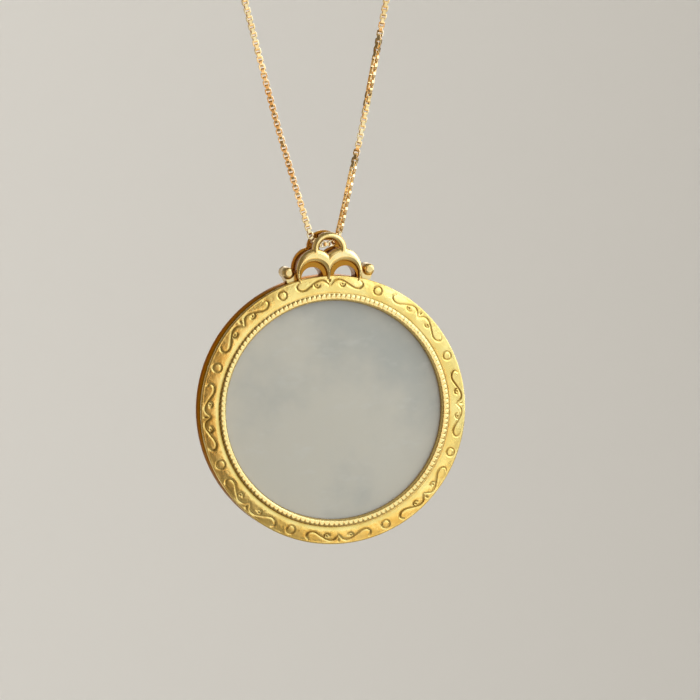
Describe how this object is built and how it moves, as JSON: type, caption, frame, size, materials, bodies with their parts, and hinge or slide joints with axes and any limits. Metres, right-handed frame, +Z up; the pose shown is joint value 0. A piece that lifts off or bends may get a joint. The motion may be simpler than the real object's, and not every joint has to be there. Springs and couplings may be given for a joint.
{
  "type": "jade disc necklace",
  "caption": "Necklace of a fine gold box chain with a round pale jade disc in an engraved, beaded gold frame that hangs from a scrolled gold bail.",
  "frame": {"origin": "underside of the clasp at the top of the chain's loop, where the necklace rests on the nape", "axes": "+Z up; the engraved front of the pendant faces -Y; X runs across the neck"},
  "size_m": [0.073, 0.005, 0.2365],
  "materials": {
    "satin_gold": "satin cast yellow gold with polished edges",
    "polished_gold": "polished yellow gold",
    "jade": "polished, slightly translucent grey-white nephrite"
  },
  "bodies": {
    "chain_and_clasp": {"chain": "polished_gold", "clasp": "polished_gold"},
    "pendant": {"gold_frame": "satin_gold", "jade_disc": "jade"}
  },
  "joints": [
    {"name": "pendant_swing", "type": "hinge", "parent": "chain_and_clasp", "child": "pendant", "pos_m": [0, 0, -0.196], "axis": [1, 0, 0], "range_deg": [-30, 30]}
  ]
}
